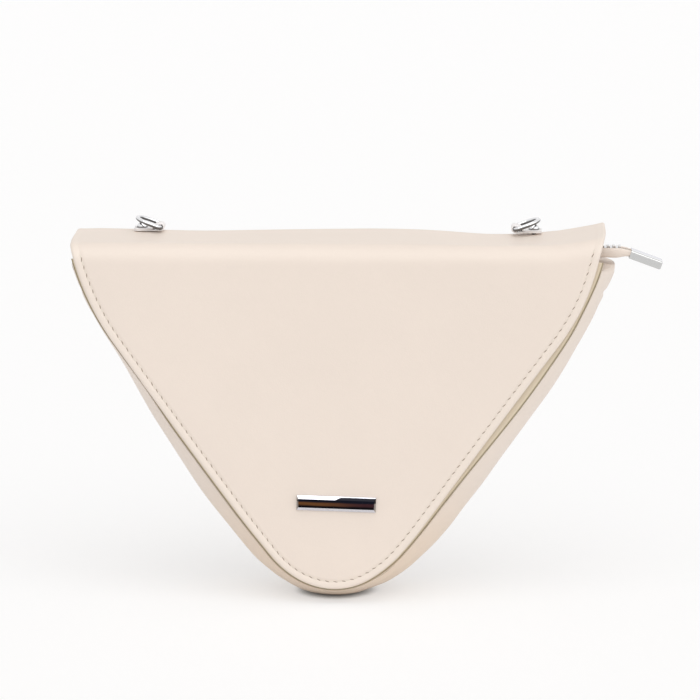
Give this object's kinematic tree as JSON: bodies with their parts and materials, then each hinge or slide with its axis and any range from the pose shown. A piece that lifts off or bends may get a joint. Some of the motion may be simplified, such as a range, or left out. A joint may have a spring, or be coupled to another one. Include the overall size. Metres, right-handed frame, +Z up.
{
  "type": "triangular flap bag",
  "caption": "Inverted-triangle flap bag in smooth leather with a padded flap, a bare metal bar, a metal zip with a capped tail and D-rings for a strap.",
  "frame": {"origin": "middle of the flat foot that the bag stands on, at the rounded tip", "axes": "+X along the wide top, towards the zip's tail; +Y from the flap's face to the back; +Z up"},
  "size_m": [0.297, 0.06, 0.1873],
  "materials": {
    "cream_leather": "smooth cream faux leather, satin",
    "lining_cloth": "plain woven lining",
    "zip_tape": "woven cream tape",
    "stiffening_board": "pressed bonded-fibre board",
    "padding": "thin felted padding",
    "zip_metal": "polished nickel",
    "snap_metal": "polished nickel",
    "ring_chrome": "bright chrome",
    "plaque_chrome": "bright chrome, bare"
  },
  "bodies": {
    "bag": {"front_panel": "cream_leather", "back_panel": "cream_leather", "gusset": "cream_leather", "front_board": "stiffening_board", "back_board": "stiffening_board", "lining": "lining_cloth", "flap_band": "cream_leather", "zip_facing_front": "cream_leather", "zip_facing_back": "cream_leather", "zip_tape_front": "zip_tape", "zip_tape_back": "zip_tape", "zip_teeth_front": "zip_metal", "zip_teeth_back": "zip_metal", "zip_stops": "zip_metal", "zip_end_cap": "zip_metal", "snap_socket": "snap_metal", "snap_socket_washer": "snap_metal", "ring_tab_left": "cream_leather", "ring_tab_right": "cream_leather", "ring_rivet_left": "ring_chrome", "ring_rivet_right": "ring_chrome"},
    "flap": {"flap_leather": "cream_leather", "flap_padding": "padding", "flap_backing": "lining_cloth", "plaque": "plaque_chrome", "plaque_washer": "snap_metal", "snap_stud": "snap_metal", "snap_stud_washer": "snap_metal"},
    "ring_left": {"d_ring_left": "ring_chrome"},
    "ring_right": {"d_ring_right": "ring_chrome"},
    "slider": {"zip_slider": "zip_metal"},
    "pull": {"zip_pull": "zip_metal"}
  },
  "joints": [
    {"name": "flap_hinge", "type": "hinge", "parent": "bag", "child": "flap", "pos_m": [0, 0.003, 0.1788], "axis": [-1, 0, 0], "range_deg": [0, 115]},
    {"name": "ring_left_swing", "type": "hinge", "parent": "bag", "child": "ring_left", "pos_m": [-0.08837, 0.016, 0.18205], "axis": [0, 1, 0], "range_deg": [0, 152]},
    {"name": "ring_right_swing", "type": "hinge", "parent": "bag", "child": "ring_right", "pos_m": [0.08837, 0.016, 0.18205], "axis": [0, -1, 0], "range_deg": [0, 152]},
    {"name": "zip_slide", "type": "slide", "parent": "bag", "child": "slider", "axis": [1, 0, 0], "range_m": [0, 0.196], "deforming": ["zip_teeth_front", "zip_teeth_back", "zip_tape_front", "zip_tape_back"]},
    {"name": "pull_lift", "type": "hinge", "parent": "slider", "child": "pull", "pos_m": [-0.0988, 0, 0.17445], "axis": [0, -1, 0], "range_deg": [0, 6]}
  ]
}
